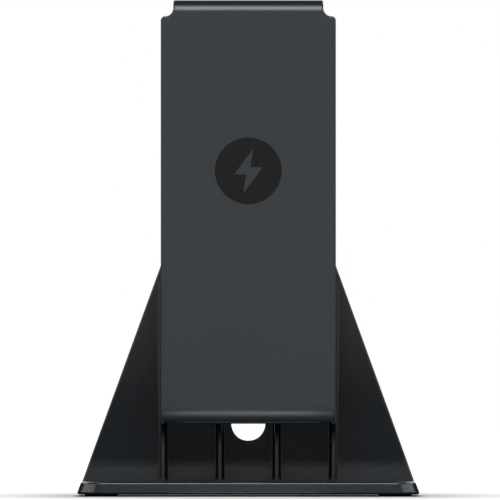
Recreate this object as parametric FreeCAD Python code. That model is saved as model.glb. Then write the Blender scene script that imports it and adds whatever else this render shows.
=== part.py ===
import FreeCAD, Part
import math
import os

os.makedirs("parts", exist_ok=True)
V = FreeCAD.Vector

# Charging stand for a pair of slide-on controllers, in millimetres.
# The front faces -Y, +Z is up, and the feet stand on Z = 0 around the origin.

# Stand moulding: one sheet that is the base, turns up at the back and leans in behind the block
base_depth = 50.0
base_half_width = 42.45
side_angle = 20.07
sheet = 3.0
foot_lift = 0.5
wall_height = 3.4
bend_radius = 16.0
heel_radius = 3.0
plate_lean = 10.0
plate_top = 92.0
plate_corner = 5.0
lip_draft = 0.25
plan_corner = 5.0
sheet_edge = 0.5

# Four upright ribs tie the base, the leaning plate and the block together
bay_depth = 12.6
rib_thickness = 1.1
rib_inset = 0.425
rib_sweep = 4.6
rib_root = 1.0
rib_nose = 0.4
rib_sunk = 0.3
rib_margin = 0.1
rib_crest = 1.5

# Upright block that carries the rails
block_width = 43.0
block_height = 104.0
block_bottom = 18.3
block_depth = 15.8
cover_wall = 1.8
top_curl = 3.0
bottom_curl = 3.9
bottom_round = 6.0
bottom_turn = 38.0
cover_edge = 0.4
back_edge = 0.6
notch_height = 4.0
notch_hollow = 2.1
notch_shoulder = 0.85
core_drop = 0.5
core_wall = 1.5
return_length = 5.4
fit = 0.1

# Pressed rails, one on each side of the block
rail_depth = 3.0
rail_sheet = 1.0
rail_lip = 1.3
rail_proud = 0.1
rail_rise = 5.7
rail_bend = 0.8
latch_width = 2.4
latch_height = 4.0
latch_drop = 6.3
rail_screw_low = 12.0
rail_screw_step = 38.0
rail_screw_drop = 16.3

# Terminals at the bottom of the rails
plug_height = 3.5
tongue_gap = 0.7
tongue_height = 4.0
tongue_width = 6.4
tongue_thickness = 1.0
contact_count = 10
contact_pitch = 0.6
contact_width = 0.32
contact_thickness = 0.15
tail_length = 4.9
tail_depth = 4.2
tail_lift = 0.4
tail_drop = 0.5

# Socket and slot for the lead, in line with each other at the back
port_height = 8.94
port_width = 3.26
port_shell = 0.3
port_recess = 0.2
port_margin = 0.23
port_plug = 2.0
port_tongue = 0.7
port_blade = 6.7
port_contacts = 12
port_pitch = 0.5
port_strip = 0.1
slot_width = 8.4
slot_below = 11.1
slot_above = 6.6

# Circuit board and what stands on it
board_thickness = 1.6
board_corner = 1.0
board_lift = 0.3
board_clear = 1.0
flex_span = 3.6
flex_thickness = 0.3
flex_slack = 1.0
flex_overlap = 2.0
standoff_length = 6.0
standoff_radius = 2.3
standoff_inset = 2.6
standoff_spread = 7.0
standoff_edge = 4.0
chip_lift = 21.1
chip_spread = 3.2
chip_size = (5.0, 5.0, 0.9, 0.15)
inductor_drop = 14.0
inductor_size = (5.0, 5.0, 2.2, 1.0)
capacitor_spread = 2.4
capacitor_row = 4.2
capacitor_size = (0.9, 1.7, 0.9, 0.1)

# Screws: radius of hole and head, height of head, and where each kind sits
stand_screw_low = 21.7
stand_screw_step = 32.0
stand_hole = 1.25
stand_head = 2.4
stand_head_height = 1.7
stand_shelf = 2.2
boss_radius = 3.4
cover_screw_inset = 4.5
cover_screw_low = 25.7
cover_screw_drop = 12.3
cover_hole = 1.1
cover_head = 2.2
cover_head_height = 1.5
cover_shelf = 1.5
cover_post = 2.5
cover_seat_radius = 3.5
cover_bite = 6.0
small_hole = 0.9
small_head = 1.8
small_head_height = 1.1
small_bite = 4.0
rail_pad_length = 4.3
rail_pad_radius = 2.6
rail_screw_length = 4.5
sink_depth = 0.8
head_room = 0.2

# Round emblem let into the front
emblem_drop = 42.1
emblem_radius = 8.2
emblem_recess = 0.5
emblem_thickness = 0.4
bolt_outline = ((1.3, 5.7), (-3.5, -0.9), (-0.5, -0.9), (-1.3, -5.7), (3.5, 0.9), (0.5, 0.9))

# Rubber feet
pad_radius = 4.0
pad_recess = 0.7
pad_side_inset = 6.25
pad_front_inset = 6.2
pad_rear_inset = 7.0

# Places that follow from the sizes above: stand
floor_z = foot_lift + sheet
wall_y = base_depth / 2 - sheet
wall_top = floor_z + wall_height
lean = math.radians(plate_lean)
knee_z = wall_top + bend_radius * math.tan(lean / 2)
slope = math.tan(math.radians(side_angle))
pad_x = base_half_width - pad_side_inset
pad_front_y = pad_front_inset - base_depth / 2
pad_rear_y = wall_y - pad_rear_inset

# Block and rails
block_half = block_width / 2
block_top = block_bottom + block_height
block_rear = wall_y - bay_depth
block_front = block_rear - block_depth
cover_inner = block_front + cover_wall
cover_return = block_front + return_length
curl_turn = math.radians(bottom_turn)
curl_drop = bottom_curl - bottom_round * math.tan(curl_turn / 2)
back_inner = block_rear - cover_wall
shoulder = block_top - notch_height
channel_floor = block_half - rail_depth
core_half = channel_floor - rail_sheet
core_bottom = block_bottom - core_drop
rail_y = (block_front + block_rear) / 2
rail_outer = block_half + rail_proud
lip_inner = rail_outer - rail_sheet
rail_bottom = block_bottom + rail_rise
latch_z = shoulder - latch_drop
emblem_z = block_top - emblem_drop

# Terminals, board and socket
terminal_top = rail_bottom + plug_height
tongue_x = channel_floor + tongue_gap
tail_reach = core_half - tail_length
tail_bottom = block_bottom + cover_wall + tail_lift
tail_top = rail_bottom - tail_drop
board_back = back_inner - standoff_length
board_front = board_back - board_thickness
tail_front = board_front
tail_rear = tail_front + tail_depth
board_half_width = tail_reach - flex_span
board_bottom = core_bottom + cover_wall + board_lift
chip_z = board_bottom + chip_lift
inductor_z = chip_z - inductor_drop
standoff_x = board_half_width - standoff_inset
standoff_z = (chip_z - standoff_spread, chip_z + standoff_spread)
board_top = standoff_z[1] + standoff_edge
pair_x = (-chip_spread, chip_spread)
capacitor_x = (-capacitor_spread, 0.0, capacitor_spread)
capacitor_z = (chip_z - capacitor_row, chip_z + capacitor_row)
port_z = board_bottom + port_height / 2 + port_margin
slot_bottom = port_z - slot_below
slot_top = port_z + slot_above

# Screws
rail_pad_x = core_half - rail_pad_length
rail_screw_start = rail_bottom + rail_screw_low
rail_screw_z = (rail_screw_start, rail_screw_start + rail_screw_step, shoulder - rail_screw_drop)
stand_bite = standoff_length - board_clear
stand_screw_start = block_bottom + stand_screw_low
stand_screw_z = (stand_screw_start, stand_screw_start + stand_screw_step)
cover_screw_x = core_half - cover_screw_inset
cover_screw_z = (block_bottom + cover_screw_low, block_top - cover_screw_drop)
cover_seat = back_inner - fit
cover_post_end = cover_seat - cover_shelf

# Ribs: the outer pair stops short of the sloping sides, the inner pair where the plate nears the block
rib_pitch = (block_width - 2 * rib_inset) / 3
rib_places = (-1.5 * rib_pitch, -0.5 * rib_pitch, 0.5 * rib_pitch, 1.5 * rib_pitch)
rib_face = block_rear + rib_sweep
outer_rib_edge = 1.5 * rib_pitch + rib_thickness / 2 + rib_root + rib_margin
outer_rib_top = (base_half_width - outer_rib_edge) / slope
inner_rib_top = knee_z + (bay_depth - rib_crest) / math.tan(lean)

PLANES = {
    "yz": (V(0, 1, 0), V(0, 0, 1), V(1, 0, 0)),
    "xz": (V(1, 0, 0), V(0, 0, 1), V(0, 1, 0)),
    "xy": (V(1, 0, 0), V(0, 1, 0), V(0, 0, 1)),
}


def outline(corners, plane):
    """Closed wire through (u, v) corners; a third number rounds that corner."""
    across, up = PLANES[plane][:2]
    points = [across * corner[0] + up * corner[1] for corner in corners]
    edges = []
    stops = []
    for i, corner in enumerate(corners):
        here = points[i]
        radius = corner[2] if len(corner) > 2 else 0.0
        if radius == 0.0:
            stops.append((here, here))
            continue
        back = (points[i - 1] - here).normalize()
        ahead = (points[(i + 1) % len(points)] - here).normalize()
        half = back.getAngle(ahead) / 2
        reach = radius / math.tan(half)
        inward = (back + ahead).normalize()
        middle = here + inward * (radius / math.sin(half) - radius)
        stops.append((here + back * reach, here + ahead * reach))
        edges.append(Part.Arc(stops[i][0], middle, stops[i][1]).toShape())
    for i in range(len(stops)):
        start = stops[i][1]
        end = stops[(i + 1) % len(stops)][0]
        if start.distanceToPoint(end) > 1e-6:
            edges.append(Part.makeLine(start, end))
    return Part.Wire(Part.__sortEdges__(edges))


def slab(corners, plane, start, end):
    """Rounded outline pushed through from one level to another along the plane's normal."""
    normal = PLANES[plane][2]
    face = Part.Face(outline(corners, plane))
    face.translate(normal * start)
    return face.extrude(normal * (end - start))


def box(x_range, y_range, z_range):
    size = [high - low for low, high in (x_range, y_range, z_range)]
    return Part.makeBox(size[0], size[1], size[2], V(x_range[0], y_range[0], z_range[0]))


def rod(x, z, radius, y_start, y_end):
    """Cylinder lying front to back."""
    return Part.makeCylinder(radius, y_end - y_start, V(x, y_start, z), V(0, 1, 0))


def cross_rod(y, z, radius, x_start, x_end):
    """Cylinder lying from side to side."""
    return Part.makeCylinder(radius, x_end - x_start, V(x_start, y, z), V(1, 0, 0))


def stadium(width, height, z, y_start, y_end):
    """Upright slot shape with round ends, lying front to back on the centre plane."""
    half = width / 2
    centre = V(0, y_start, z)
    lift = V(0, 0, height / 2 - half)
    side = V(half, 0, 0)
    tip = V(0, 0, height / 2)
    edges = [
        Part.Arc(centre + lift + side, centre + tip, centre + lift - side).toShape(),
        Part.makeLine(centre + lift - side, centre - lift - side),
        Part.Arc(centre - lift - side, centre - tip, centre - lift + side).toShape(),
        Part.makeLine(centre - lift + side, centre + lift + side),
    ]
    return Part.Face(Part.Wire(edges)).extrude(V(0, y_end - y_start, 0))


def other_side(shape):
    return shape.mirror(V(0, 0, 0), V(1, 0, 0))


def screw(head, head_height, hole, length, place, axis):
    """Cross-head screw with its head seated at place and pointing along axis."""
    tip = hole * 0.8
    corners = (
        (0, -length),
        (hole - tip * 0.6, -length),
        (hole, -length + tip),
        (hole, 0),
        (head, 0),
        (head, head_height * 0.5),
        (head * 0.75, head_height),
        (0, head_height),
    )
    body = Part.Face(outline(corners, "xz")).revolve(V(0, 0, 0), V(0, 0, 1), 360)
    arm = head * 0.55
    blade = head * 0.13
    depth = head_height * 0.6
    for size in ((arm, blade), (blade, arm)):
        x_range = (-size[0], size[0])
        y_range = (-size[1], size[1])
        body = body.cut(box(x_range, y_range, (head_height - depth, head_height + 1)))
    body.Placement = FreeCAD.Placement(place, FreeCAD.Rotation(V(0, 0, 1), axis))
    return body


def plate_front(z):
    """Depth at which the leaning plate's front face stands, at a given height."""
    return wall_y - (z - knee_z) * math.tan(lean)


def plate_rear(z):
    return plate_front(z) + sheet / math.cos(lean)


def stand_sheet():
    """Base, upright foot and leaning plate as one bent sheet, trimmed to the sloping sides."""
    front = -base_depth / 2
    back = base_depth / 2
    top_rear = V(0, plate_rear(plate_top), plate_top)
    top_front = top_rear - V(0, math.cos(lean), math.sin(lean)) * sheet
    profile = (
        (front, foot_lift),
        (back, foot_lift, heel_radius),
        (back, knee_z + sheet * math.tan(lean / 2), bend_radius + sheet),
        (top_rear.y, top_rear.z),
        (top_front.y, top_front.z),
        (wall_y, knee_z, bend_radius),
        (wall_y, floor_z),
        (front + lip_draft, floor_z),
    )
    body = slab(profile, "yz", -base_half_width, base_half_width)
    rise = plate_top + sheet
    narrow = base_half_width - rise * slope
    sides = ((-base_half_width, 0), (base_half_width, 0), (narrow, rise), (-narrow, rise))
    body = body.common(slab(sides, "xz", -base_depth, base_depth))

    def runs_through_sheet(edge):
        return abs(edge.Length - sheet) < 0.3 and edge.BoundBox.XLength < 1.5

    corners = [edge for edge in body.Edges if runs_through_sheet(edge)]
    low = [edge for edge in corners if edge.CenterOfMass.z < floor_z]
    body = body.makeFillet(plan_corner, low)
    corners = [edge for edge in body.Edges if runs_through_sheet(edge)]
    high = [edge for edge in corners if edge.CenterOfMass.z > plate_top - 2 * sheet]
    body = body.makeFillet(plate_corner, high)

    def on_rim(face):
        low_u, high_u, low_v, high_v = face.ParameterRange
        normal = face.normalAt((low_u + high_u) / 2, (low_v + high_v) / 2)
        centre = face.CenterOfMass
        return abs(normal.x) > 0.2 or centre.y < front + 1 or centre.z > plate_top - sheet

    rim_edges = []
    for edge in body.Edges:
        sides_of_edge = [on_rim(face) for face in body.ancestorsOfType(edge, Part.Face)]
        if sides_of_edge.count(True) == 1 and len(sides_of_edge) == 2:
            rim_edges.append(edge)
    return body.makeFillet(sheet_edge, rim_edges)


def rib(x, top):
    """Upright web on the wall and the plate that sweeps forward at the top to carry the block."""
    sunk = sheet / 3
    corners = (
        (rib_face, floor_z - sunk),
        (rib_face, core_bottom, rib_sweep),
        (block_rear, core_bottom),
        (block_rear, top),
        (plate_front(top) + sunk, top),
        (wall_y + sunk, knee_z),
        (wall_y + sunk, floor_z - sunk),
    )
    body = slab(corners, "yz", x - rib_thickness / 2, x + rib_thickness / 2)
    nose = []
    for edge in body.Edges:
        span = edge.BoundBox
        if span.XLength < 0.01 and span.YMax < rib_face + 0.01 and span.ZMax < core_bottom + 0.01:
            nose.append(edge)
    return body.makeFillet(rib_nose, nose)


def rib_roots(x, top):
    """Hollow fillets on both sides of a rib: straight along the floor, then up the wall and the plate."""
    turn = V(0, wall_y - bend_radius, wall_top)
    low = V(x, wall_y, floor_z - rib_sunk)
    knee = V(x, wall_y, wall_top)
    middle = turn + V(x, math.cos(lean / 2) * bend_radius, math.sin(lean / 2) * bend_radius)
    high = turn + V(x, math.cos(lean) * bend_radius, math.sin(lean) * bend_radius)
    end = V(x, plate_front(top), top)
    arc = Part.Arc(knee, middle, high).toShape()
    path = Part.Wire([Part.makeLine(low, knee), arc, Part.makeLine(high, end)])
    toe = rib_face + rib_nose
    fillets = []
    for side in (-1, 1):
        wall = x + side * rib_thickness / 2
        near = wall - side * rib_sunk
        far = wall + side * rib_root

        def hollow(corner, into, out):
            """Section of one fillet; into and out point into the sheet and away from it."""
            waist = rib_root * (1 - math.sqrt(0.5))
            top_point = V(wall, corner.y, corner.z) + out * rib_root
            half_way = V(wall + side * waist, corner.y, corner.z) + out * waist
            points = (
                V(near, corner.y, corner.z) + out * rib_root,
                V(near, corner.y, corner.z) + into * rib_sunk,
                V(far, corner.y, corner.z) + into * rib_sunk,
                V(far, corner.y, corner.z),
            )
            edges = [Part.makeLine(points[i], points[i + 1]) for i in range(3)]
            edges.append(Part.Arc(points[3], half_way, top_point).toShape())
            edges.append(Part.makeLine(top_point, points[0]))
            return Part.Wire(edges)

        along_floor = hollow(V(x, toe, floor_z), V(0, 0, -1), V(0, 0, 1))
        fillets.append(Part.Face(along_floor).extrude(V(0, wall_y + rib_sunk - toe, 0)))
        fillets.append(path.makePipeShell([hollow(low, V(0, 1, 0), V(0, -1, 0))], True, False))
    return fillets


def stand_frame():
    """Whole stand moulding with ribs, screw posts, lead slot and foot recesses."""
    added = []
    for x in rib_places:
        top = outer_rib_top if abs(x) > rib_pitch else inner_rib_top
        added.append(rib(x, top))
        added.extend(rib_roots(x, top - rib_root))
    posts = [(x, z) for x in rib_places[1:3] for z in stand_screw_z]
    for x, z in posts:
        added.append(rod(x, z, boss_radius, block_rear, plate_rear(z) - sheet / 2))
    body = stand_sheet().fuse(added)
    slot_middle = (slot_top + slot_bottom) / 2
    body = body.cut(stadium(slot_width, slot_top - slot_bottom, slot_middle, block_rear, base_depth))
    slot_half = slot_width / 2 + 0.01
    rim = []
    for edge in body.Edges:
        span = edge.BoundBox
        in_width = span.XMin > -slot_half and span.XMax < slot_half
        in_height = span.ZMin > slot_bottom - 0.01 and span.ZMax < slot_top + 0.01
        if in_width and in_height and span.YMin > block_rear and span.ZLength > slot_width / 4:
            rim.append(edge)
    body = body.makeFillet(sheet_edge, rim)
    beside = (-base_depth, base_depth)
    removed = [box(beside, (-base_depth, block_rear), (core_bottom, 2 * plate_top))]
    for x, z in posts:
        removed.append(rod(x, z, stand_hole + head_room, 0, base_depth))
        removed.append(rod(x, z, stand_head + head_room, block_rear + stand_shelf, base_depth))
    for x in (-pad_x, pad_x):
        for y in (pad_front_y, pad_rear_y):
            removed.append(Part.makeCylinder(pad_radius + fit, pad_recess, V(x, y, foot_lift)))
    return body.cut(removed).removeSplitter()


def foot(x, y):
    """Rubber disc with a softened rim, half sunk in the base."""
    disc = Part.makeCylinder(pad_radius, foot_lift + pad_recess, V(x, y, 0))
    rim = [edge for edge in disc.Edges if edge.BoundBox.ZMax < 0.01]
    return disc.makeChamfer(foot_lift / 2, rim)


def stand_screws():
    """Four screws from the back, down the posts and into the block."""
    seat = block_rear + stand_shelf
    length = seat - back_inner + stand_bite
    screws = []
    for x in rib_places[1:3]:
        for z in stand_screw_z:
            place = V(x, seat, z)
            screws.append(screw(stand_head, stand_head_height, stand_hole, length, place, V(0, 1, 0)))
    return Part.makeCompound(screws)


def face_outline():
    """Front view of the block: straight sides and a narrower lip between two hollow notches."""
    right = (
        (block_half, block_bottom),
        (block_half, shoulder, notch_shoulder),
        (channel_floor, shoulder, notch_hollow),
        (channel_floor, block_top),
    )
    left = tuple((-corner[0],) + corner[1:] for corner in reversed(right))
    return right + left


def emblem_disc(radius, y_start, y_end, swell):
    """Disc pierced by a plain charging bolt; swell widens the disc and narrows the bolt hole."""
    disc = rod(0, emblem_z, radius + swell, y_start, y_end)
    shrink = 1 - swell / emblem_radius
    bolt = [(x * shrink, emblem_z + z * shrink) for x, z in bolt_outline]
    return disc.cut(slab(bolt, "xz", y_start, y_end))


def front_cover():
    """Front shell: a flat face curled back at top and bottom, with a closed cap between the notches."""
    section = (
        (cover_return, block_bottom),
        (block_front + curl_drop * math.tan(curl_turn), block_bottom, cover_edge),
        (block_front, block_bottom + curl_drop, bottom_round),
        (block_front, block_top, top_curl),
        (back_inner, block_top),
        (back_inner, block_top - cover_wall),
        (cover_inner, block_top - cover_wall, top_curl - cover_wall),
        (cover_inner, block_bottom + cover_wall, bottom_curl - cover_wall),
        (cover_return, block_bottom + cover_wall),
    )
    shell = slab(section, "yz", -block_half, block_half)
    shell = shell.common(slab(face_outline(), "xz", block_front, back_inner))
    edges = []
    for edge in shell.Edges:
        span = edge.BoundBox
        on_face = span.YMax < cover_inner - 0.1
        along_side = span.XLength < rail_depth and abs(edge.CenterOfMass.x) > core_half
        if on_face and along_side:
            edges.append(edge)
    shell = shell.makeFillet(cover_edge, edges)
    added = []
    for side in (-1, 1):
        cheek = sorted((side * core_half, side * channel_floor))
        added.append(box(cheek, (cover_inner, back_inner), (shoulder, block_top - cover_wall)))
        for z in cover_screw_z:
            added.append(rod(side * cover_screw_x, z, cover_post, cover_inner, cover_post_end))
    shell = shell.fuse(added)
    removed = [emblem_disc(emblem_radius, block_front - 1, block_front + emblem_recess, fit / 2)]
    for side in (-1, 1):
        for z in cover_screw_z:
            removed.append(rod(side * cover_screw_x, z, cover_hole, cover_inner + 1, cover_post_end))
    return shell.cut(removed).removeSplitter()


def charge_emblem():
    seat = block_front + emblem_recess
    return emblem_disc(emblem_radius, seat - emblem_thickness, seat, 0)


def core_profile(gap):
    """Side view of the space inside the cover, kept a gap clear of its curl and top."""
    return (
        (cover_inner + gap, block_bottom + bottom_curl + gap),
        (cover_inner + gap, block_top - cover_wall - gap, top_curl - cover_wall),
        (back_inner, block_top - cover_wall - gap),
        (back_inner, core_bottom),
        (cover_return + gap, core_bottom, core_drop),
        (cover_return + gap, block_bottom + cover_wall + gap),
        (cover_inner + bottom_curl - cover_wall + gap, block_bottom + cover_wall + gap),
    )


def rear_housing():
    """Back shell with the core walls that the rails, board and front cover are screwed to."""
    body = slab(face_outline(), "xz", back_inner, block_rear)
    rim = [edge for edge in body.Edges if edge.BoundBox.YMin > block_rear - 0.01]
    body = body.makeFillet(back_edge, rim)
    added = []
    for side in (-1, 1):
        wall = sorted((side * (core_half - core_wall), side * core_half))
        added.append(slab(core_profile(fit), "yz", wall[0], wall[1]))
        pad = sorted((side * rail_pad_x, side * core_half))
        for z in rail_screw_z:
            added.append(cross_rod(rail_y, z, rail_pad_radius, pad[0], pad[1]))
        for z in standoff_z:
            added.append(rod(side * standoff_x, z, standoff_radius, board_back, back_inner))
        for z in cover_screw_z:
            seat = rod(side * cover_screw_x, z, cover_seat_radius, cover_post_end + fit, back_inner)
            added.append(seat)
        for z in stand_screw_z:
            added.append(rod(side * rib_pitch / 2, z, boss_radius, back_inner - stand_bite, back_inner))
    floor_top = core_bottom + cover_wall
    floor_front = cover_return + fit
    under = (
        (floor_front, core_bottom, core_drop),
        (back_inner, core_bottom),
        (back_inner, floor_top),
        (floor_front, floor_top),
    )
    added.append(slab(under, "yz", -core_half, core_half))
    body = body.fuse(added)
    removed = [stadium(port_width + 2 * fit, port_height + 2 * fit, port_z, board_back, block_rear + 1)]
    for side in (-1, 1):
        window = sorted((side * (core_half - core_wall - 1), side * (core_half + 1)))
        through = (tail_front - fit, tail_rear + fit)
        removed.append(box(window, through, (tail_bottom - fit, tail_top + fit)))
        pilot = sorted((side * (rail_pad_x - 1), side * (core_half + 1)))
        for z in rail_screw_z:
            removed.append(cross_rod(rail_y, z, small_hole, pilot[0], pilot[1]))
        for z in standoff_z:
            removed.append(rod(side * standoff_x, z, small_hole, board_back, board_back + small_bite))
        for z in cover_screw_z:
            removed.append(rod(side * cover_screw_x, z, cover_hole + fit, cover_post_end, block_rear))
            removed.append(rod(side * cover_screw_x, z, cover_head + head_room, cover_seat, block_rear))
        for z in stand_screw_z:
            removed.append(rod(side * rib_pitch / 2, z, stand_hole, back_inner - stand_bite, block_rear))
    return body.cut(removed).removeSplitter()


def cover_screws():
    """Four screws from the back that hold the front cover."""
    length = cover_seat - cover_post_end + cover_bite
    screws = []
    for side in (-1, 1):
        for z in cover_screw_z:
            place = V(side * cover_screw_x, cover_seat, z)
            screws.append(screw(cover_head, cover_head_height, cover_hole, length, place, V(0, 1, 0)))
    return Part.makeCompound(screws)


def rail():
    """Right-hand rail: a pressed channel with turned-in lips, holes for screws and a latch window."""
    front = cover_inner + fit
    rear = back_inner - fit
    bend_inside = rail_sheet * 0.2
    half_front = (
        (core_half, front, rail_bend),
        (rail_outer, front, rail_bend),
        (rail_outer, front + rail_sheet + rail_lip, rail_sheet * 0.4),
        (lip_inner, front + rail_sheet + rail_lip, bend_inside),
        (lip_inner, front + rail_sheet, bend_inside),
        (channel_floor, front + rail_sheet, bend_inside),
    )
    half_rear = tuple((x, front + rear - y, radius) for x, y, radius in reversed(half_front))
    rail_top = shoulder - fit
    body = slab(half_front + half_rear, "xy", rail_bottom, rail_top)
    seen = ((core_half, 0), (rail_outer, 0), (rail_outer, rail_top, notch_shoulder), (core_half, rail_top))
    body = body.common(slab(seen, "xz", front, rear))
    removed = []
    latch_y = (rail_y - latch_width / 2, rail_y + latch_width / 2)
    latch_span = (latch_z - latch_height / 2, latch_z + latch_height / 2)
    removed.append(box((core_half, channel_floor), latch_y, latch_span))
    for z in rail_screw_z:
        removed.append(cross_rod(rail_y, z, small_hole + fit, core_half, channel_floor))
        low = V(channel_floor - sink_depth, rail_y, z)
        removed.append(Part.makeCone(small_hole + fit, small_head + fit, sink_depth, low, V(1, 0, 0)))
    return body.cut(removed)


def rail_screws():
    """Three flat-headed screws through the floor of the right-hand rail."""
    screws = []
    for z in rail_screw_z:
        corners = (
            (0, -rail_screw_length),
            (small_hole * 0.5, -rail_screw_length),
            (small_hole, -rail_screw_length + small_hole),
            (small_hole, -sink_depth),
            (small_head, 0),
            (0, 0),
        )
        body = Part.Face(outline(corners, "xz")).revolve(V(0, 0, 0), V(0, 0, 1), 360)
        arm = small_head * 0.6
        blade = small_head * 0.14
        for size in ((arm, blade), (blade, arm)):
            body = body.cut(box((-size[0], size[0]), (-size[1], size[1]), (-sink_depth * 0.8, 1)))
        turn = FreeCAD.Rotation(V(0, 0, 1), V(1, 0, 0))
        body.Placement = FreeCAD.Placement(V(channel_floor, rail_y, z), turn)
        screws.append(body)
    return Part.makeCompound(screws)


def terminal():
    """Moulded end stop of the right-hand rail, with a contact tongue above and a tail to the board."""
    clear = 2 * fit
    front = cover_inner + clear
    rear = back_inner - clear
    base = (
        (front, block_bottom + bottom_curl + clear),
        (front, rail_bottom - fit),
        (rear, rail_bottom - fit),
        (rear, block_bottom + fit),
        (cover_return + fit, block_bottom + fit),
        (cover_return + fit, block_bottom + cover_wall + clear),
        (cover_inner + bottom_curl - cover_wall + clear, block_bottom + cover_wall + clear),
    )
    body = slab(base, "yz", core_half, block_half - fit)
    inner_half = (back_inner - cover_inner) / 2 - fit - rail_sheet - fit
    mouth_half = inner_half - rail_lip
    plug = (
        (channel_floor + fit, rail_y - inner_half),
        (lip_inner - fit, rail_y - inner_half),
        (lip_inner - fit, rail_y - mouth_half),
        (block_half - fit, rail_y - mouth_half),
        (block_half - fit, rail_y + mouth_half),
        (lip_inner - fit, rail_y + mouth_half),
        (lip_inner - fit, rail_y + inner_half),
        (channel_floor + fit, rail_y + inner_half),
    )
    added = [slab(plug, "xy", rail_bottom - fit, terminal_top)]
    tongue = (
        (tongue_x, rail_y - tongue_width / 2),
        (tongue_x + tongue_thickness, rail_y - tongue_width / 2),
        (tongue_x + tongue_thickness, rail_y + tongue_width / 2),
        (tongue_x, rail_y + tongue_width / 2),
    )
    added.append(slab(tongue, "xy", terminal_top, terminal_top + tongue_height))
    tail = ((tail_reach, core_half + fit), (tail_front, tail_rear), (tail_bottom, tail_top))
    added.append(box(*tail))
    body = body.fuse(added).removeSplitter()
    tip = [edge for edge in body.Edges if edge.BoundBox.ZMin > terminal_top + tongue_height - 0.01]
    return body.makeFillet(tongue_thickness * 0.3, tip)


def contacts():
    """Row of plated strips on the outer face of the right-hand contact tongue."""
    face = tongue_x + tongue_thickness
    low = terminal_top
    high = terminal_top + tongue_height * 0.85
    strips = []
    for i in range(contact_count):
        y = rail_y + (i - (contact_count - 1) / 2) * contact_pitch
        y_range = (y - contact_width / 2, y + contact_width / 2)
        strips.append(box((face, face + contact_thickness), y_range, (low, high)))
    return Part.makeCompound(strips)


def circuit_board():
    """Board with round corners and screw holes, set upright across the core."""
    corners = (
        (-board_half_width, board_bottom, board_corner),
        (board_half_width, board_bottom, board_corner),
        (board_half_width, board_top, board_corner),
        (-board_half_width, board_top, board_corner),
    )
    body = slab(corners, "xz", board_front, board_back)
    rows = [(side * standoff_x, z) for side in (-1, 1) for z in standoff_z]
    return body.cut([rod(x, z, small_hole + fit, board_front, board_back) for x, z in rows])


def board_screws():
    """Four screws from the front that hold the board to its standoffs."""
    length = board_thickness + small_bite - head_room
    screws = []
    for side in (-1, 1):
        for z in standoff_z:
            place = V(side * standoff_x, board_front, z)
            screws.append(screw(small_head, small_head_height, small_hole, length, place, V(0, -1, 0)))
    return Part.makeCompound(screws)


def usb_shell():
    """Metal sleeve of the lead socket, standing on the board and open at the back."""
    mouth = block_rear - port_recess
    walls = 2 * port_shell
    sleeve = stadium(port_width, port_height, port_z, board_back, mouth)
    inside = stadium(port_width - walls, port_height - walls, port_z, board_back - 1, mouth + 1)
    return sleeve.cut(inside)


def usb_insulator():
    """Plastic core of the socket: a plug at the board end with a thin tongue towards the mouth."""
    inner = 2 * port_shell
    plug = stadium(port_width - inner, port_height - inner, port_z, board_back, board_back + port_plug)
    half = port_tongue / 2
    reach = block_rear - port_recess - 1
    blade = box((-half, half), (board_back, reach), (port_z - port_blade / 2, port_z + port_blade / 2))
    return plug.fuse(blade).removeSplitter()


def usb_contacts():
    """Two rows of plated strips on the faces of the socket's tongue."""
    half = port_tongue / 2
    strips = []
    for row in range(port_contacts):
        z = port_z + (row - (port_contacts - 1) / 2) * port_pitch
        for side in (-1, 1):
            x_range = sorted((side * half, side * (half + port_strip)))
            y_range = (board_back + port_plug, block_rear - port_recess - 1.5)
            strips.append(box(x_range, y_range, (z - port_pitch * 0.3, z + port_pitch * 0.3)))
    return Part.makeCompound(strips)


def mounted(columns, rows, size):
    """Like components standing on the front of the board, in rows and columns."""
    width, height, depth, corner = size
    parts = []
    for x in columns:
        for z in rows:
            left, right = x - width / 2, x + width / 2
            low, high = z - height / 2, z + height / 2
            ends = ((left, low), (right, low), (right, high), (left, high))
            corners = [(u, v, corner) for u, v in ends]
            parts.append(slab(corners, "xz", board_front - depth, board_front))
    return Part.makeCompound(parts)


def flex():
    """Right-hand flexible strip from the board to the terminal's tail, with a little slack."""
    under = board_front
    over = board_front - flex_thickness
    slack = over - flex_slack
    middle = (board_half_width + tail_reach) / 2
    start = board_half_width - flex_overlap
    end = tail_reach + flex_overlap
    edge = board_half_width
    loop = slack + flex_thickness
    outer = Part.Arc(V(edge, over, 0), V(middle, slack, 0), V(tail_reach, over, 0)).toShape()
    inner = Part.Arc(V(tail_reach, under, 0), V(middle, loop, 0), V(edge, under, 0)).toShape()
    edges = [
        Part.makeLine(V(start, under, 0), V(start, over, 0)),
        Part.makeLine(V(start, over, 0), V(edge, over, 0)),
        outer,
        Part.makeLine(V(tail_reach, over, 0), V(end, over, 0)),
        Part.makeLine(V(end, over, 0), V(end, under, 0)),
        Part.makeLine(V(end, under, 0), V(tail_reach, under, 0)),
        inner,
        Part.makeLine(V(edge, under, 0), V(start, under, 0)),
    ]
    strip = Part.Face(Part.Wire(edges))
    strip.translate(V(0, 0, tail_bottom + fit))
    return strip.extrude(V(0, 0, tail_top - tail_bottom - 2 * fit))


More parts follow.
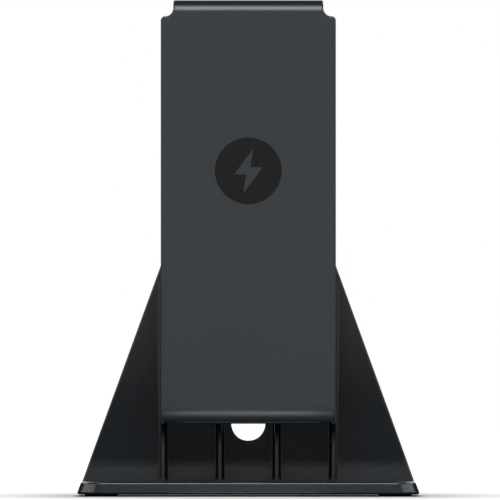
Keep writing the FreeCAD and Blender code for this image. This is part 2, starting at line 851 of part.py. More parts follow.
pieces = {
    "stand_frame": stand_frame(),
    "stand_screws": stand_screws(),
    "foot_front_left": foot(-pad_x, pad_front_y),
    "foot_front_right": foot(pad_x, pad_front_y),
    "foot_rear_left": foot(-pad_x, pad_rear_y),
    "foot_rear_right": foot(pad_x, pad_rear_y),
    "front_cover": front_cover(),
    "charge_emblem": charge_emblem(),
    "rear_housing": rear_housing(),
    "cover_screws": cover_screws(),
    "right_rail": rail(),
    "left_rail": other_side(rail()),
    "right_rail_screws": rail_screws(),
    "left_rail_screws": other_side(rail_screws()),
    "right_terminal": terminal(),
    "left_terminal": other_side(terminal()),
    "right_contacts": contacts(),
    "left_contacts": other_side(contacts()),
    "circuit_board": circuit_board(),
    "board_screws": board_screws(),
    "usb_shell": usb_shell(),
    "usb_insulator": usb_insulator(),
    "usb_contacts": usb_contacts(),
    "charge_chips": mounted(pair_x, (chip_z,), chip_size),
    "power_inductors": mounted(pair_x, (inductor_z,), inductor_size),
    "board_capacitors": mounted(capacitor_x, capacitor_z, capacitor_size),
    "right_flex": flex(),
    "left_flex": other_side(flex()),
}
for name, shape in pieces.items():
    shape.exportStep("parts/" + name + ".step")
    print(name, shape.isValid(), len(shape.Solids), round(shape.Volume, 2))
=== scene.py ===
"""Looks and stage for a charging stand that holds a pair of slide-on controllers."""

import math

import bmesh
import bpy
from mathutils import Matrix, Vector


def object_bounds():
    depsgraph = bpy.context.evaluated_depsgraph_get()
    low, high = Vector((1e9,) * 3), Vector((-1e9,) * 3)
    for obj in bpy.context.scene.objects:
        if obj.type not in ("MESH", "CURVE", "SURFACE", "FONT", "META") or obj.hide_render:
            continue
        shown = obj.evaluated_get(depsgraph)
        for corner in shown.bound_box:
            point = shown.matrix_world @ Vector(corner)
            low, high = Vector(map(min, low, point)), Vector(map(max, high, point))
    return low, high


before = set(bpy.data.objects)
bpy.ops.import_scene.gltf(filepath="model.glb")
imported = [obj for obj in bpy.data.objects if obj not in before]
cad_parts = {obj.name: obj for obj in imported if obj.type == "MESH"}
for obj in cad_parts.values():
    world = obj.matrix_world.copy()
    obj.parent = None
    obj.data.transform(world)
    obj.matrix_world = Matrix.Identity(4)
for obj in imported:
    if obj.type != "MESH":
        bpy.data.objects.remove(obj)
cad_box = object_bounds()

bl_info = {
    "name": "Charging Stand Looks",
    "version": (1, 0, 0),
    "blender": (4, 5, 0),
    "location": "View3D > Sidebar > Charging Stand",
    "description": "Finishes of a charging stand and the studio that it is shown in",
    "category": "Object",
}

# Shared colours and levels
WHITE = (1.0, 1.0, 1.0, 1.0)
FLOOR_WHITE = (0.62, 0.62, 0.62)
COOL_GLOSS = (0.89, 0.945, 1.0, 1.0)
PLASTIC_SPECULAR = 0.53

# Camera, in metres apart from the sensor's millimetres
VIEW_MIDDLE = Vector((0.00042, 0.0, 0.0607))
SENSOR_WIDTH = 36.0

# Where each lamp stands, in metres, and its width and height
LAMP_AIM = (0.0, 0.0, 0.06)
KEY_PLACE = (0.0, -0.689, 0.714)
KEY_SIZE = (0.42, 0.60)
FILL_PLACE = (0.0, -1.1, 0.108)
FILL_SIZE = (1.3, 0.21)
SIDE_PLACE = (0.853, -0.380, 0.388)
SIDE_SIZE = (1.5, 0.42)
REAR_PLACE = (0.5, 0.6, 0.7)
REAR_SIZE = (0.4, 0.4)

# How far the white behind the stand reaches in reflections, as the direction's share along Y
BACKDROP_FADE = (0.9, 0.97)

# Floor, with the distances in metres over which its tones fade
FLOOR_HALF = 30.0
FLOOR_GRAIN = 0.004
GLOW_OVAL = (1.0, 0.6, 1.0)
NEAR_GLOW_FADE = (0.042, 0.085)
FAR_GLOW_FADE = (0.1, 0.5)
# Painted shade: the floor's colour is darker near the stand, in glossy rays only
PAINTED_REFLECTION_SHADE_FADE = (0.05, 0.12)
# Painted glow on the floor in front of the block, seen only in glossy surfaces close to it
PAINTED_GLOW_SIDE_FADE = (0.017, 0.021)
PAINTED_GLOW_FRONT_FADE = (-0.051, -0.043)
PAINTED_GLOW_BACK_FADE = (-0.033, -0.028)
PAINTED_GLOW_REACH_FADE = (0.044, 0.049)
BASE_HALF_WIDTH, BASE_HALF_DEPTH = cad_box[1][:2]
# Painted contact shadow: the floor's colour is darker under the base, fading just past its edges
CONTACT_SHADOW_SIDE_FADE = (BASE_HALF_WIDTH - 0.0015, BASE_HALF_WIDTH + 0.002)
CONTACT_SHADOW_END_FADE = (BASE_HALF_DEPTH - 0.002, BASE_HALF_DEPTH + 0.004)


# Settings that the panel shows


def colour_property(label, words, value):
    return bpy.props.FloatVectorProperty(
        name=label, description=words, default=value, size=3, min=0.0, max=1.0, subtype="COLOR"
    )


def level_property(label, words, value):
    return bpy.props.FloatProperty(name=label, description=words, default=value, min=0.0)


class ChargingStandFinishes(bpy.types.PropertyGroup):
    """Colours and surface grain of the stand's own materials"""

    cover: colour_property(
        "Block plastic", "Colour of the block's front and back shells", (0.0113, 0.0146, 0.0173)
    )
    stand: colour_property(
        "Stand plastic", "Colour of the base, the leaning plate and the ribs", (0.0064, 0.0078, 0.0092)
    )
    emblem: colour_property("Emblem", "Colour of the polished disc on the front", (0.0030, 0.0031, 0.0033))
    rail: colour_property("Rail coat", "Colour of the rails' stoved black coat", (0.0070, 0.0072, 0.0076))
    steel: colour_property("Screw steel", "Colour of the plated screws", (0.48, 0.48, 0.47))
    rubber: colour_property("Foot rubber", "Colour of the rubber feet", (0.012, 0.012, 0.012))
    terminal: colour_property(
        "Terminal plastic", "Colour of the end stops in the rails", (0.0075, 0.0078, 0.0082)
    )
    gold: colour_property("Contact plating", "Colour of the plated contacts", (0.86, 0.57, 0.20))
    board: colour_property("Board mask", "Colour of the circuit board's solder mask", (0.010, 0.085, 0.032))
    socket: colour_property("Socket steel", "Colour of the socket's drawn shell", (0.56, 0.56, 0.55))
    chip: colour_property("Chip body", "Colour of the charging chips", (0.011, 0.011, 0.012))
    chip_speck: colour_property("Chip speck", "Colour of the grains in the chips", (0.035, 0.035, 0.036))
    ferrite: colour_property("Inductor body", "Colour of the inductors", (0.075, 0.075, 0.078))
    ferrite_speck: colour_property(
        "Inductor speck", "Colour of the grains in the inductors", (0.16, 0.16, 0.16)
    )
    ceramic: colour_property("Capacitor body", "Colour of the capacitors", (0.42, 0.28, 0.15))
    ceramic_speck: colour_property(
        "Capacitor speck", "Colour of the grains in the capacitors", (0.55, 0.40, 0.26)
    )
    film: colour_property("Strip film", "Colour of the flexible strips' film", (0.50, 0.20, 0.03))
    copper: colour_property("Strip copper", "Colour of the copper lines in the film", (0.36, 0.11, 0.03))
    dust: colour_property("Foot dust", "Colour of the dust on the rubber feet", (0.06, 0.058, 0.055))
    grain: bpy.props.FloatProperty(
        name="Grain size",
        description="Width of one grain of the moulded texture",
        default=0.00022,
        min=0.00002,
        max=0.005,
        unit="LENGTH",
        precision=5,
    )
    grain_depth: bpy.props.FloatProperty(
        name="Grain depth",
        description="Height of the moulded texture",
        default=0.000007,
        min=0.0,
        max=0.001,
        unit="LENGTH",
        precision=6,
    )


class ChargingStandStage(bpy.types.PropertyGroup):
    """Camera, lamps and floor"""

    frame_width: bpy.props.FloatProperty(
        name="Frame width",
        description="Width of the view at the stand",
        default=0.12343,
        min=0.01,
        unit="LENGTH",
    )
    lens: bpy.props.FloatProperty(
        name="Lens",
        description="Focal length, long for a view without foreshortening",
        default=1500.0,
        min=50.0,
    )
    elevation: bpy.props.FloatProperty(
        name="Elevation",
        description="How far the camera looks down",
        default=math.radians(-0.2),
        subtype="ANGLE",
    )
    key: level_property("Key lamp", "Brightness of the soft lamp above the front", 9.0)
    fill: level_property("Front fill", "Brightness of the low lamp in front", 0.88)
    side: level_property("Side lamps", "Brightness of the two lamps beside the front", 2.4)
    rear: level_property("Rear lamps", "Brightness of the two lamps behind the stand", 5.0)
    room: level_property("Room light", "Brightness of the room around the stand", 0.02)
    glow: level_property("Floor glow", "White of the floor away from the stand", 1.0)
    # Painted shade: darker floor colour seen only in glossy surfaces near the stand
    painted_reflection_shade: level_property(
        "Floor in reflections", "White of the floor near the stand in glossy surfaces", 0.1
    )
    # Painted contact shadow: darker floor colour under the base
    painted_shadow_white: level_property("Floor under the base", "White of the floor in the gap under the base", 0.08)
    # Painted glow: floor emission seen only in glossy surfaces close to it, a painted reflection on the
    # block's lower edge
    painted_glow: level_property("Bounce card", "White card in front of the block, in glossy surfaces", 5.3)


# Small helpers for node materials


def new_finish(name, colour, roughness, metallic=0.0, specular=0.5):
    """Material with one shader whose steady values are set on its own sockets."""
    material = bpy.data.materials.new(name)
    material.use_nodes = True
    shader = material.node_tree.nodes["Principled BSDF"]
    shader.inputs["Base Color"].default_value = (*colour, 1.0)
    shader.inputs["Roughness"].default_value = roughness
    shader.inputs["Metallic"].default_value = metallic
    shader.inputs["Specular IOR Level"].default_value = specular
    material.diffuse_color = (*colour, 1.0)
    return material, material.node_tree, shader


def spot(tree, stretch=(1.0, 1.0, 1.0)):
    """Object coordinates, stretched along the axes."""
    place = tree.nodes.new("ShaderNodeTexCoord")
    mapping = tree.nodes.new("ShaderNodeMapping")
    mapping.inputs["Scale"].default_value = stretch
    tree.links.new(place.outputs["Object"], mapping.inputs["Vector"])
    return mapping.outputs["Vector"]


def noise(tree, vector, width, detail=2.0, roughness=0.5):
    """Noise whose blotches are about one width across."""
    node = tree.nodes.new("ShaderNodeTexNoise")
    node.inputs["Scale"].default_value = 1.0 / width
    node.inputs["Detail"].default_value = detail
    node.inputs["Roughness"].default_value = roughness
    tree.links.new(vector, node.inputs["Vector"])
    return node.outputs["Fac"]


def cells(tree, vector, width):
    """Distance to the nearest of many scattered points, one width apart."""
    node = tree.nodes.new("ShaderNodeTexVoronoi")
    node.inputs["Scale"].default_value = 1.0 / width
    tree.links.new(vector, node.inputs["Vector"])
    return node.outputs["Distance"]


def spread(tree, value, low, high, start=0.3, end=0.7):
    """Value between start and end turned into low to high."""
    node = tree.nodes.new("ShaderNodeMapRange")
    node.inputs["From Min"].default_value = start
    node.inputs["From Max"].default_value = end
    node.inputs["To Min"].default_value = low
    node.inputs["To Max"].default_value = high
    tree.links.new(value, node.inputs["Value"])
    return node.outputs["Result"]


def math_node(tree, operation, first, second=None):
    node = tree.nodes.new("ShaderNodeMath")
    node.operation = operation
    for socket, value in zip(node.inputs, (first, second)):
        if value is None:
            continue
        if isinstance(value, (int, float)):
            socket.default_value = value
        else:
            tree.links.new(value, socket)
    return node.outputs["Value"]


def product(tree, first, *others):
    """All the values multiplied together."""
    for other in others:
        first = math_node(tree, "MULTIPLY", first, other)
    return first


def length_of(tree, vector):
    node = tree.nodes.new("ShaderNodeVectorMath")
    node.operation = "LENGTH"
    tree.links.new(vector, node.inputs[0])
    return node.outputs["Value"]


def axes_of(tree, vector):
    """A vector's X, Y and Z."""
    node = tree.nodes.new("ShaderNodeSeparateXYZ")
    tree.links.new(vector, node.inputs["Vector"])
    return node.outputs


def blend_colours(tree, factor, first, second):
    """Mix of two colours, or of a socket and a colour."""
    node = tree.nodes.new("ShaderNodeMix")
    node.data_type = "RGBA"
    tree.links.new(factor, node.inputs["Factor"])
    for socket, value in ((node.inputs[6], first), (node.inputs[7], second)):
        if isinstance(value, (tuple, list)):
            socket.default_value = (*value[:3], 1.0)
        else:
            tree.links.new(value, socket)
    return node.outputs[2]


def raise_surface(tree, shader, heights):
    """Bump nodes in a chain: (height socket, metres, strength) from coarse to fine."""
    normal = None
    for height, depth, strength in heights:
        node = tree.nodes.new("ShaderNodeBump")
        node.inputs["Strength"].default_value = strength
        node.inputs["Distance"].default_value = depth
        tree.links.new(height, node.inputs["Height"])
        if normal is not None:
            tree.links.new(normal, node.inputs["Normal"])
        normal = node.outputs["Normal"]
    tree.links.new(normal, shader.inputs["Normal"])


def shade(colour, factor):
    """Colour made lighter or darker."""
    return tuple(min(1.0, channel * factor) for channel in colour)


def put_on(material, *names):
    """Gives the named CAD nodes this material in every slot."""
    for name in names:
        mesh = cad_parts[name].data
        mesh.materials.clear()
        mesh.materials.append(material)


# Finishes, with the widths and depths of their marks in metres


def moulded_plastic(name, colour, looks, roughness):
    """Fine spark-eroded texture with faint flow shading and handling marks."""
    flow_width = 0.03
    flow_stretch = (1.0, 1.0, 0.45)
    smudge_width = 0.011
    pit_width = looks.grain * 1.7
    speck_share = 0.2
    grain_swing = 0.04
    smudge_swing = 0.025
    depth = looks.grain_depth
    material, tree, shader = new_finish(name, colour, roughness, specular=PLASTIC_SPECULAR)
    shader.inputs["Specular Tint"].default_value = COOL_GLOSS
    here = spot(tree)
    flow = noise(tree, spot(tree, flow_stretch), flow_width, detail=1.0)
    fine = noise(tree, here, looks.grain, detail=2.0, roughness=0.65)
    pits = cells(tree, here, pit_width)
    smudges = noise(tree, here, smudge_width, detail=3.0, roughness=0.6)
    tint = blend_colours(tree, spread(tree, flow, 0.0, 1.0), shade(colour, 0.95), shade(colour, 1.05))
    speck = blend_colours(tree, spread(tree, fine, 0.0, speck_share), tint, shade(colour, 1.3))
    tree.links.new(speck, shader.inputs["Base Color"])
    even = spread(tree, fine, roughness - grain_swing, roughness + grain_swing)
    patchy = spread(tree, smudges, -smudge_swing, smudge_swing)
    tree.links.new(math_node(tree, "ADD", even, patchy), shader.inputs["Roughness"])
    raise_surface(tree, shader, ((pits, depth, 0.5), (fine, depth, 0.6)))
    return material


def polished_black(name, colour):
    """Polished disc with faint orange peel and hairlines from wiping."""
    peel_width = 0.0016
    peel_depth = 0.000004
    hair_width = 0.00012
    hair_stretch = (1.0, 1.0, 0.06)
    material, tree, shader = new_finish(name, colour, roughness=0.16, specular=0.2)
    peel = noise(tree, spot(tree), peel_width, detail=1.0)
    hairs = noise(tree, spot(tree, hair_stretch), hair_width, detail=1.0)
    tree.links.new(spread(tree, hairs, 0.13, 0.22), shader.inputs["Roughness"])
    scuffed = spread(tree, hairs, 0.0, 1.0, 0.55, 0.75)
    tree.links.new(blend_colours(tree, scuffed, colour, shade(colour, 1.8)), shader.inputs["Base Color"])
    raise_surface(tree, shader, ((peel, peel_depth, 0.5),))
    return material


def stoved_rail(name, colour, steel):
    """Black coat on pressed steel, rubbed along the way that a controller slides."""
    peel_width = 0.0005
    peel_depth = 0.000006
    rub_width = 0.00035
    rub_depth = 0.000002
    rub_stretch = (1.0, 1.0, 0.015)
    patch_width = 0.009
    most_metal = 0.8
    material, tree, shader = new_finish(name, colour, roughness=0.38)
    here = spot(tree)
    peel = noise(tree, here, peel_width, detail=2.0)
    rubbed = noise(tree, spot(tree, rub_stretch), rub_width, detail=2.0, roughness=0.7)
    patches = noise(tree, here, patch_width, detail=2.0)
    worn = spread(tree, rubbed, 0.0, 1.0, 0.66, 0.78)
    wear = product(tree, worn, spread(tree, patches, 0.0, 0.7, 0.5, 0.75))
    tree.links.new(blend_colours(tree, wear, colour, shade(steel, 0.3)), shader.inputs["Base Color"])
    tree.links.new(product(tree, wear, most_metal), shader.inputs["Metallic"])
    tree.links.new(spread(tree, rubbed, 0.42, 0.32), shader.inputs["Roughness"])
    raise_surface(tree, shader, ((peel, peel_depth, 0.5), (rubbed, rub_depth, 0.4)))
    return material


def plated_metal(name, colour, roughness, stretch):
    """Bright plated metal with fine drawing lines along one axis."""
    line_width = 0.00008
    line_depth = 0.000003
    stain_width = 0.0014
    material, tree, shader = new_finish(name, colour, roughness, metallic=1.0)
    lines = noise(tree, spot(tree, stretch), line_width, detail=2.0, roughness=0.6)
    stain = noise(tree, spot(tree), stain_width, detail=3.0)
    tint = blend_colours(tree, spread(tree, stain, 0.0, 1.0), shade(colour, 0.82), shade(colour, 1.06))
    tree.links.new(tint, shader.inputs["Base Color"])
    tree.links.new(spread(tree, lines, roughness - 0.07, roughness + 0.09), shader.inputs["Roughness"])
    raise_surface(tree, shader, ((lines, line_depth, 0.35),))
    return material


def foot_rubber(name, colour, dust_colour):
    """Dull rubber with a pebbled skin and a little dust."""
    pebble_width = 0.00045
    pebble_depth = 0.00004
    dust_width = 0.0011
    most_dust = 0.6
    material, tree, shader = new_finish(name, colour, roughness=0.78, specular=0.3)
    here = spot(tree)
    pebbles = cells(tree, here, pebble_width)
    dust = noise(tree, here, dust_width, detail=4.0, roughness=0.7)
    tint = blend_colours(tree, spread(tree, dust, 0.0, most_dust, 0.5, 0.8), colour, dust_colour)
    tree.links.new(tint, shader.inputs["Base Color"])
    tree.links.new(spread(tree, dust, 0.72, 0.86), shader.inputs["Roughness"])
    raise_surface(tree, shader, ((pebbles, pebble_depth, 0.6),))
    return material


def board_mask(name, colour):
    """Solder mask over copper tracks that run across and along the board."""
    track_length = 0.0034
    track_pitch = 0.0011
    track_width = 0.00012
    track_depth = 0.00003
    weave_width = 0.0003
    weave_depth = 0.000006
    weave_stretch = (1.0, 1.0, 0.3)
    black = (0.0, 0.0, 0.0, 1.0)
    material, tree, shader = new_finish(name, colour, roughness=0.34)
    tracks = tree.nodes.new("ShaderNodeTexBrick")
    tracks.inputs["Scale"].default_value = 1.0
    tracks.inputs["Brick Width"].default_value = track_length
    tracks.inputs["Row Height"].default_value = track_pitch
    tracks.inputs["Mortar Size"].default_value = track_width
    tracks.inputs["Mortar Smooth"].default_value = 0.1
    tracks.inputs["Color1"].default_value = black
    tracks.inputs["Color2"].default_value = black
    tracks.inputs["Mortar"].default_value = WHITE
    turned = tree.nodes.new("ShaderNodeMapping")
    turned.inputs["Rotation"].default_value = (math.radians(-90.0), 0.0, 0.0)
    tree.links.new(spot(tree), turned.inputs["Vector"])
    tree.links.new(turned.outputs["Vector"], tracks.inputs["Vector"])
    lines = tracks.outputs["Fac"]
    weave = noise(tree, spot(tree, weave_stretch), weave_width, detail=1.0)
    tree.links.new(blend_colours(tree, lines, colour, shade(colour, 2.0)), shader.inputs["Base Color"])
    tree.links.new(spread(tree, weave, 0.28, 0.42), shader.inputs["Roughness"])
    raise_surface(tree, shader, ((lines, track_depth, 0.7), (weave, weave_depth, 0.4)))
    return material


def speckled(name, colour, speck, roughness, grain):
    """Moulded or pressed powder body with lighter grains in it."""
    grain_depth = 0.000012
    most_speck = 0.8
    material, tree, shader = new_finish(name, colour, roughness)
    grains = noise(tree, spot(tree), grain, detail=3.0, roughness=0.7)
    tint = blend_colours(tree, spread(tree, grains, 0.0, most_speck, 0.5, 0.8), colour, speck)
    tree.links.new(tint, shader.inputs["Base Color"])
    tree.links.new(spread(tree, grains, roughness - 0.06, roughness + 0.06), shader.inputs["Roughness"])
    raise_surface(tree, shader, ((grains, grain_depth, 0.5),))
    return material


def amber_film(name, colour, copper):
    """Polyimide film with copper lines showing through."""
    line_scale = 330.0
    line_depth = 0.00002
    cloud_width = 0.0008
    material, tree, shader = new_finish(name, colour, roughness=0.3)
    lines = tree.nodes.new("ShaderNodeTexWave")
    lines.bands_direction = "Z"
    lines.inputs["Scale"].default_value = line_scale
    lines.inputs["Distortion"].default_value = 0.0
    tree.links.new(spot(tree), lines.inputs["Vector"])
    cloud = noise(tree, spot(tree), cloud_width, detail=2.0)
    striped = spread(tree, lines.outputs["Fac"], 0.0, 1.0, 0.45, 0.55)
    tree.links.new(blend_colours(tree, striped, colour, copper), shader.inputs["Base Color"])
    tree.links.new(spread(tree, cloud, 0.24, 0.36), shader.inputs["Roughness"])
    raise_surface(tree, shader, ((lines.outputs["Fac"], line_depth, 0.4),))
    return material


# Operators, one for each group of like pieces


class CHARGINGSTAND_OT_mouldings(bpy.types.Operator):
    """Gives the stand moulding and the block's shells their textured plastic"""

    bl_idname = "charging_stand.mouldings"
    bl_label = "Mouldings"

    def execute(self, context):
        looks = context.scene.charging_stand_finishes
        cover = moulded_plastic("cover_slate", tuple(looks.cover), looks, roughness=0.32)
        put_on(cover, "front_cover", "rear_housing")
        stand = moulded_plastic("stand_slate", tuple(looks.stand), looks, roughness=0.25)
        put_on(stand, "stand_frame")
        return {"FINISHED"}


class CHARGINGSTAND_OT_emblem(bpy.types.Operator):
    """Polishes the round emblem on the front"""

    bl_idname = "charging_stand.emblem"
    bl_label = "Emblem"

    def execute(self, context):
        looks = context.scene.charging_stand_finishes
        put_on(polished_black("emblem_black", tuple(looks.emblem)), "charge_emblem")
        return {"FINISHED"}


class CHARGINGSTAND_OT_rails(bpy.types.Operator):
    """Coats the two rails and dresses the terminals and contacts at their ends"""

    bl_idname = "charging_stand.rails"
    bl_label = "Rails and terminals"

    def execute(self, context):
        looks = context.scene.charging_stand_finishes
        coat = stoved_rail("rail_black", tuple(looks.rail), tuple(looks.steel))
        put_on(coat, "left_rail", "right_rail")
        dull = moulded_plastic("terminal_black", tuple(looks.terminal), looks, roughness=0.5)
        put_on(dull, "left_terminal", "right_terminal", "usb_insulator")
        gold = plated_metal("contact_gold", tuple(looks.gold), roughness=0.22, stretch=(1.0, 1.0, 0.1))
        put_on(gold, "left_contacts", "right_contacts", "usb_contacts")
        return {"FINISHED"}


class CHARGINGSTAND_OT_fasteners(bpy.types.Operator):
    """Gives the screws their plating and the socket its drawn steel"""

    bl_idname = "charging_stand.fasteners"
    bl_label = "Screws and socket"

    def execute(self, context):
        looks = context.scene.charging_stand_finishes
        plated = plated_metal("screw_steel", tuple(looks.steel), roughness=0.3, stretch=(1.0, 0.12, 1.0))
        put_on(plated, "stand_screws", "cover_screws", "board_screws")
        put_on(plated, "left_rail_screws", "right_rail_screws")
        drawn = plated_metal("socket_steel", tuple(looks.socket), roughness=0.26, stretch=(1.0, 0.08, 1.0))
        put_on(drawn, "usb_shell")
        return {"FINISHED"}


class CHARGINGSTAND_OT_feet(bpy.types.Operator):
    """Gives the four feet their rubber"""

    bl_idname = "charging_stand.feet"
    bl_label = "Feet"

    def execute(self, context):
        looks = context.scene.charging_stand_finishes
        rubber = foot_rubber("foot_rubber", tuple(looks.rubber), tuple(looks.dust))
        put_on(rubber, "foot_front_left", "foot_front_right", "foot_rear_left", "foot_rear_right")
        return {"FINISHED"}


class CHARGINGSTAND_OT_electronics(bpy.types.Operator):
    """Finishes the board, its parts and the flexible strips inside the block"""

    bl_idname = "charging_stand.electronics"
    bl_label = "Board and strips"

    def execute(self, context):
        looks = context.scene.charging_stand_finishes
        put_on(board_mask("board_green", tuple(looks.board)), "circuit_board")
        chip = speckled(
            "chip_black", tuple(looks.chip), tuple(looks.chip_speck), roughness=0.5, grain=0.00012
        )
        put_on(chip, "charge_chips")
        ferrite = speckled(
            "inductor_grey", tuple(looks.ferrite), tuple(looks.ferrite_speck), roughness=0.55, grain=0.00025
        )
        put_on(ferrite, "power_inductors")
        ceramic = speckled(
            "capacitor_tan", tuple(looks.ceramic), tuple(looks.ceramic_speck), roughness=0.4, grain=0.00015
        )
        put_on(ceramic, "board_capacitors")
        film = amber_film("flex_amber", tuple(looks.film), tuple(looks.copper))
        put_on(film, "left_flex", "right_flex")
        return {"FINISHED"}


# Stage


def front_camera(scene, stage):
    """Camera in front of the stand, far off with a long lens."""
    data = bpy.data.cameras.new("front_camera")
    data.sensor_fit = "HORIZONTAL"
    data.sensor_width = SENSOR_WIDTH
    data.lens = stage.lens
    camera = bpy.data.objects.new("front_camera", data)
    scene.collection.objects.link(camera)
    distance = stage.frame_width * stage.lens / data.sensor_width
    tilt = stage.elevation
    camera.location = VIEW_MIDDLE + Vector((0.0, -math.cos(tilt), math.sin(tilt))) * distance
    camera.rotation_euler = (math.pi / 2 - tilt, 0.0, 0.0)
    scene.camera = camera


def soft_lamp(name, place, size, radiance):
    """Rectangular lamp that faces the stand; radiance is how bright its face looks."""
    data = bpy.data.lights.new(name, "AREA")
    data.shape = "RECTANGLE"
    data.size, data.size_y = size
    data.energy = radiance * math.pi * size[0] * size[1]
    lamp = bpy.data.objects.new(name, data)
    bpy.context.scene.collection.objects.link(lamp)
    lamp.visible_camera = False
    lamp.location = place
    lamp.rotation_euler = (Vector(LAMP_AIM) - Vector(place)).to_track_quat("-Z", "Y").to_euler()


def studio_lamps(stage):
    """Key and fill in front, and a side and a rear lamp on each hand."""
    soft_lamp("key_lamp", KEY_PLACE, KEY_SIZE, stage.key)
    soft_lamp("front_fill", FILL_PLACE, FILL_SIZE, stage.fill)
    for hand in (-1.0, 1.0):
        soft_lamp("side_lamp", (hand * SIDE_PLACE[0], *SIDE_PLACE[1:]), SIDE_SIZE, stage.side)
        soft_lamp("rear_lamp", (hand * REAR_PLACE[0], *REAR_PLACE[1:]), REAR_SIZE, stage.rear)


def mirror_ray(tree, path):
    """1 for rays that gloss, metal or glass sends out, otherwise 0."""
    return math_node(tree, "MAXIMUM", path.outputs["Is Glossy Ray"], path.outputs["Is Transmission Ray"])


def white_room(scene, stage):
    """White to the camera and, straight behind the stand, in reflections; dim as a light."""
    world = bpy.data.worlds.new("white_room")
    scene.world = world
    world.use_nodes = True
    tree = world.node_tree
    backdrop = tree.nodes["Background"]
    backdrop.inputs["Color"].default_value = WHITE
    outward = tree.nodes.new("ShaderNodeTexCoord")
    along = axes_of(tree, outward.outputs["Generated"])["Y"]
    behind = spread(tree, along, 0.0, 1.0, *BACKDROP_FADE)
    path = tree.nodes.new("ShaderNodeLightPath")
    reflected = product(tree, mirror_ray(tree, path), behind)
    white = math_node(tree, "MAXIMUM", path.outputs["Is Camera Ray"], reflected)
    tree.links.new(spread(tree, white, stage.room, 1.0, 0.0, 1.0), backdrop.inputs["Strength"])


def floor_white(stage):
    """Pale floor that turns white away from the stand, with painted shade and a painted glow near the
    stand.
    """
    material, tree, shader = new_finish("studio_white", FLOOR_WHITE, roughness=0.9, specular=0.0)
    here = spot(tree)
    grain = noise(tree, here, FLOOR_GRAIN, detail=2.0)
    tree.links.new(spread(tree, grain, 0.86, 0.94), shader.inputs["Roughness"])
    path = tree.nodes.new("ShaderNodeLightPath")
    shiny = mirror_ray(tree, path)
    axes = axes_of(tree, here)
    aside = math_node(tree, "ABSOLUTE", axes["X"])
    along = math_node(tree, "ABSOLUTE", axes["Y"])
    radius = length_of(tree, here)
    oval = length_of(tree, spot(tree, GLOW_OVAL))

    # Glow that only the camera sees
    near_glow = spread(tree, oval, 0.0, 0.5 * stage.glow, *NEAR_GLOW_FADE)
    far_glow = spread(tree, radius, 0.0, 0.5 * stage.glow, *FAR_GLOW_FADE)
    glow = product(tree, math_node(tree, "ADD", near_glow, far_glow), path.outputs["Is Camera Ray"])

    # Painted glow: a patch of floor in front of the block that shines only for glossy rays close to it, a
    # painted reflection on the block's lower edge
    across = spread(tree, aside, 1.0, 0.0, *PAINTED_GLOW_SIDE_FADE)
    front = spread(tree, axes["Y"], 0.0, stage.painted_glow, *PAINTED_GLOW_FRONT_FADE)
    back = spread(tree, axes["Y"], 1.0, 0.0, *PAINTED_GLOW_BACK_FADE)
    close = spread(tree, path.outputs["Ray Length"], 1.0, 0.0, *PAINTED_GLOW_REACH_FADE)
    painted_glow = product(tree, across, front, back, close, shiny)
    shader.inputs["Emission Color"].default_value = WHITE
    tree.links.new(math_node(tree, "ADD", glow, painted_glow), shader.inputs["Emission Strength"])

    # Painted shade: the floor is darker near the stand in glossy rays only, a painted dark reflection, and
    # darker in the gap under the base, a painted contact shadow
    painted_dark_reflection = product(tree, spread(tree, radius, 1.0, 0.0, *PAINTED_REFLECTION_SHADE_FADE), shiny)
    pale = blend_colours(tree, painted_dark_reflection, FLOOR_WHITE, shade(FLOOR_WHITE, stage.painted_reflection_shade))
    # Painted contact shadow: the floor's colour is darkened in and just around the base's footprint
    painted_contact_shadow = product(
        tree,
        spread(tree, aside, 1.0, 0.0, *CONTACT_SHADOW_SIDE_FADE),
        spread(tree, along, 1.0, 0.0, *CONTACT_SHADOW_END_FADE),
    )
    pale = blend_colours(tree, painted_contact_shadow, pale, shade(FLOOR_WHITE, stage.painted_shadow_white))
    tree.links.new(pale, shader.inputs["Base Color"])
    return material


def studio_floor(scene, stage):
    mesh = bpy.data.meshes.new("studio_floor")
    shape = bmesh.new()
    bmesh.ops.create_grid(shape, x_segments=1, y_segments=1, size=FLOOR_HALF)
    shape.to_mesh(mesh)
    shape.free()
    floor = bpy.data.objects.new("studio_floor", mesh)
    scene.collection.objects.link(floor)
    mesh.materials.append(floor_white(stage))


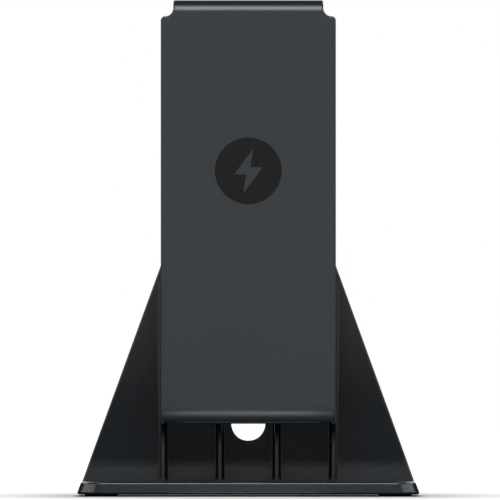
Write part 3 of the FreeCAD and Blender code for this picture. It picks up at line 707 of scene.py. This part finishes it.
class CHARGINGSTAND_OT_stage(bpy.types.Operator):
    """Sets up the camera, the lamps, the white room and the floor"""

    bl_idname = "charging_stand.stage"
    bl_label = "Stage"

    def execute(self, context):
        scene = context.scene
        stage = scene.charging_stand_stage
        scene.view_settings.view_transform = "Standard"
        front_camera(scene, stage)
        studio_lamps(stage)
        white_room(scene, stage)
        studio_floor(scene, stage)
        return {"FINISHED"}


# Panel, registration and run

PIECE_OPERATORS = (
    CHARGINGSTAND_OT_mouldings,
    CHARGINGSTAND_OT_emblem,
    CHARGINGSTAND_OT_rails,
    CHARGINGSTAND_OT_fasteners,
    CHARGINGSTAND_OT_feet,
    CHARGINGSTAND_OT_electronics,
    CHARGINGSTAND_OT_stage,
)


class CHARGINGSTAND_PT_panel(bpy.types.Panel):
    """Lists the finishes, the stage and the steps that apply them"""

    bl_idname = "CHARGINGSTAND_PT_panel"
    bl_label = "Charging Stand"
    bl_space_type = "VIEW_3D"
    bl_region_type = "UI"
    bl_category = "Charging Stand"

    def draw(self, context):
        for group in (context.scene.charging_stand_finishes, context.scene.charging_stand_stage):
            box = self.layout.box()
            for name in group.bl_rna.properties.keys():
                if name not in ("rna_type", "name"):
                    box.prop(group, name)
        for operator in PIECE_OPERATORS:
            self.layout.operator(operator.bl_idname)


CLASSES = (ChargingStandFinishes, ChargingStandStage) + PIECE_OPERATORS + (CHARGINGSTAND_PT_panel,)


def register():
    for cls in CLASSES:
        bpy.utils.register_class(cls)
    bpy.types.Scene.charging_stand_finishes = bpy.props.PointerProperty(type=ChargingStandFinishes)
    bpy.types.Scene.charging_stand_stage = bpy.props.PointerProperty(type=ChargingStandStage)


def unregister():
    del bpy.types.Scene.charging_stand_stage
    del bpy.types.Scene.charging_stand_finishes
    for cls in reversed(CLASSES):
        bpy.utils.unregister_class(cls)


def main():
    register()
    bpy.ops.charging_stand.mouldings()
    bpy.ops.charging_stand.emblem()
    bpy.ops.charging_stand.rails()
    bpy.ops.charging_stand.fasteners()
    bpy.ops.charging_stand.feet()
    bpy.ops.charging_stand.electronics()
    bpy.ops.charging_stand.stage()


if __name__ == "__main__":
    main()
